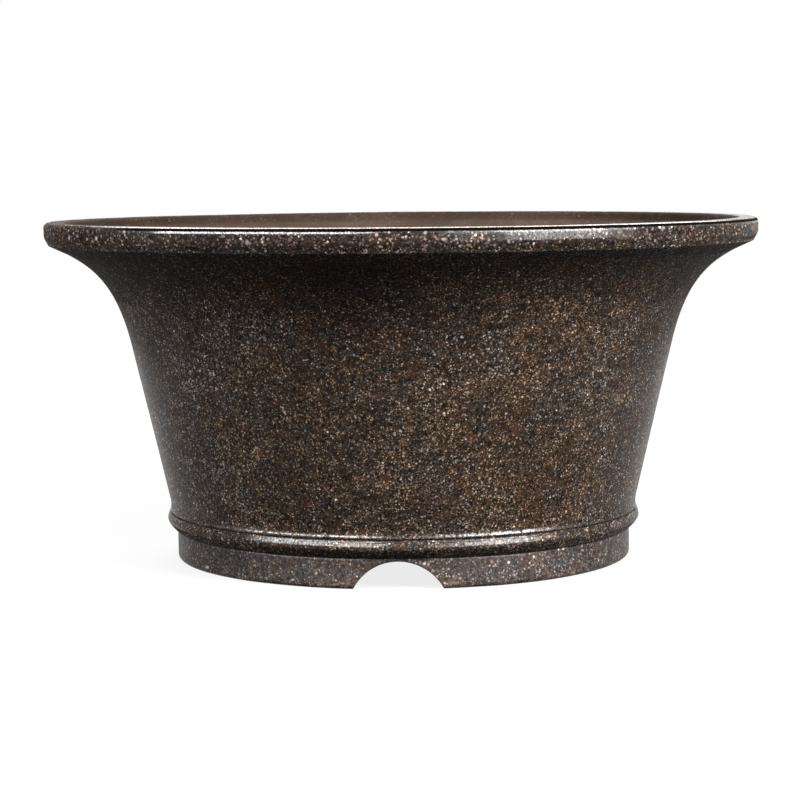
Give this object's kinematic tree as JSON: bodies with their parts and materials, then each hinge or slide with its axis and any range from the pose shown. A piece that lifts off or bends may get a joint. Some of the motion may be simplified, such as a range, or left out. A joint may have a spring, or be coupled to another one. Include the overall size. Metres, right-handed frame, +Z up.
{
  "type": "round flower pot",
  "caption": "Round stoneware flower pot with a flared wall, a broad outward lip, a waist bead and an arched foot ring around a drained floor.",
  "frame": {"origin": "on the pot's vertical axis, at the level of the foot's underside", "axes": "+Z up along the pot's axis; one foot arch faces -Y, the pictured front"},
  "size_m": [0.25, 0.25, 0.1188],
  "materials": {
    "lip_clay": "unglazed fired stoneware, smoothed, with pale grains",
    "wall_clay": "unglazed fired stoneware, smoothed, with golden grains",
    "bead_clay": "unglazed fired stoneware, smoothed, with golden grains",
    "floor_clay": "unglazed fired stoneware, left rougher inside",
    "foot_clay": "unglazed fired stoneware, a little paler and drier"
  },
  "bodies": {
    "root": {"rim_lip": "lip_clay", "body_wall": "wall_clay", "waist_bead": "bead_clay", "floor_slab": "floor_clay", "foot_ring": "foot_clay"}
  },
  "joints": []
}
